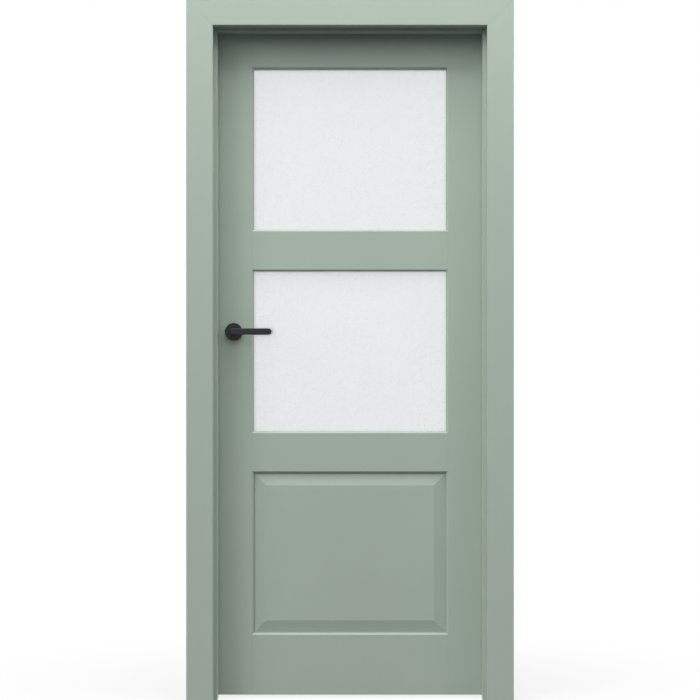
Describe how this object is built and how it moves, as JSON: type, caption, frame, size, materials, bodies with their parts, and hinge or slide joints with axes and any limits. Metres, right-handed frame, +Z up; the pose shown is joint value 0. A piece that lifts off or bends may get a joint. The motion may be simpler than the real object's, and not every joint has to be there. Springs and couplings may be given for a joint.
{
  "type": "interior door",
  "caption": "Sage-green interior door with its frame: opal glass panes above a raised panel, mitred casings and a black lever handle on a round rose.",
  "frame": {"origin": "floor level, across at the middle of the doorway, in depth on the closed leaf's push-side face", "axes": "+X across the doorway towards the hinges, +Y from the push side to the pull side, +Z up"},
  "size_m": [0.982, 0.2075, 2.103],
  "materials": {
    "frame_paint": "satin sage-green paint on wood",
    "leaf_paint": "satin sage-green paint on wood",
    "dowel_wood": "bare beech",
    "opal_glass": "translucent opal, satin",
    "clear_rubber": "soft, matt",
    "black_metal": "satin black",
    "handle_base": "plain",
    "bright_zinc": "zinc plated",
    "bright_steel": "plain bright steel",
    "bush_brass": "plain",
    "hinge_steel": "satin nickel"
  },
  "bodies": {
    "frame": {"lining_left": "frame_paint", "lining_right": "frame_paint", "lining_head": "frame_paint", "front_casing_left": "frame_paint", "front_casing_right": "frame_paint", "front_casing_head": "frame_paint", "rebate_casing_left": "frame_paint", "rebate_casing_right": "frame_paint", "rebate_casing_head": "frame_paint", "corner_brackets": "bright_zinc", "corner_bracket_screws": "bright_zinc", "frame_seal": "clear_rubber", "strike_plate": "bright_steel", "strike_screws": "bright_zinc", "hinge_frame_part_lower": "hinge_steel", "hinge_frame_part_middle": "hinge_steel", "hinge_frame_part_upper": "hinge_steel", "hinge_pins": "bright_steel"},
    "leaf": {"upper_gasket": "clear_rubber", "lower_gasket": "clear_rubber", "forend_screws": "bright_zinc", "rosette_screws": "bright_zinc", "bead_pins": "bright_zinc", "lock_case": "bright_zinc", "lock_cover": "bright_zinc", "hinge_leaf_part_lower": "hinge_steel", "hinge_leaf_part_middle": "hinge_steel", "hinge_leaf_part_upper": "hinge_steel", "forend": "bright_steel", "latch_spring": "bright_steel", "follower_spring": "bright_steel", "hinge_bushes": "bush_brass", "lock_stile": "leaf_paint", "hinge_stile": "leaf_paint", "top_rail": "leaf_paint", "upper_cross_rail": "leaf_paint", "lower_cross_rail": "leaf_paint", "bottom_rail": "leaf_paint", "raised_panel": "leaf_paint", "upper_bead_left": "leaf_paint", "upper_bead_right": "leaf_paint", "upper_bead_top": "leaf_paint", "upper_bead_bottom": "leaf_paint", "lower_bead_left": "leaf_paint", "lower_bead_right": "leaf_paint", "lower_bead_top": "leaf_paint", "lower_bead_bottom": "leaf_paint", "rail_dowels": "dowel_wood", "upper_glass": "opal_glass", "lower_glass": "opal_glass", "rosette_front": "black_metal", "rosette_back": "black_metal", "rosette_base_front": "handle_base", "rosette_base_back": "handle_base"},
    "lever": {"lever_front": "black_metal", "lever_back": "black_metal", "spindle": "bright_steel", "grub_screws": "bright_zinc", "follower": "bright_steel"},
    "latch": {"latch_bolt": "bright_steel"}
  },
  "joints": [
    {"name": "leaf_swing", "type": "hinge", "parent": "frame", "child": "leaf", "pos_m": [0.429, 0.047, 0.25], "axis": [0, 0, -1], "range_deg": [0, 170]},
    {"name": "lever_turn", "type": "hinge", "parent": "leaf", "child": "lever", "pos_m": [-0.3525, 0.02, 1.1085], "axis": [0, 1, 0], "range_deg": [0, 40], "stiffness_Nm_per_rad": 1.2, "springref_deg": -28.65, "deforming": ["follower_spring"]},
    {"name": "latch_slide", "type": "slide", "parent": "leaf", "child": "latch", "axis": [1, 0, 0], "range_m": [0, 0.011], "deforming": ["latch_spring"]}
  ],
  "couplings": [
    {"joint": "latch_slide", "follows": "lever_turn", "m_per_rad": 0.01575}
  ]
}
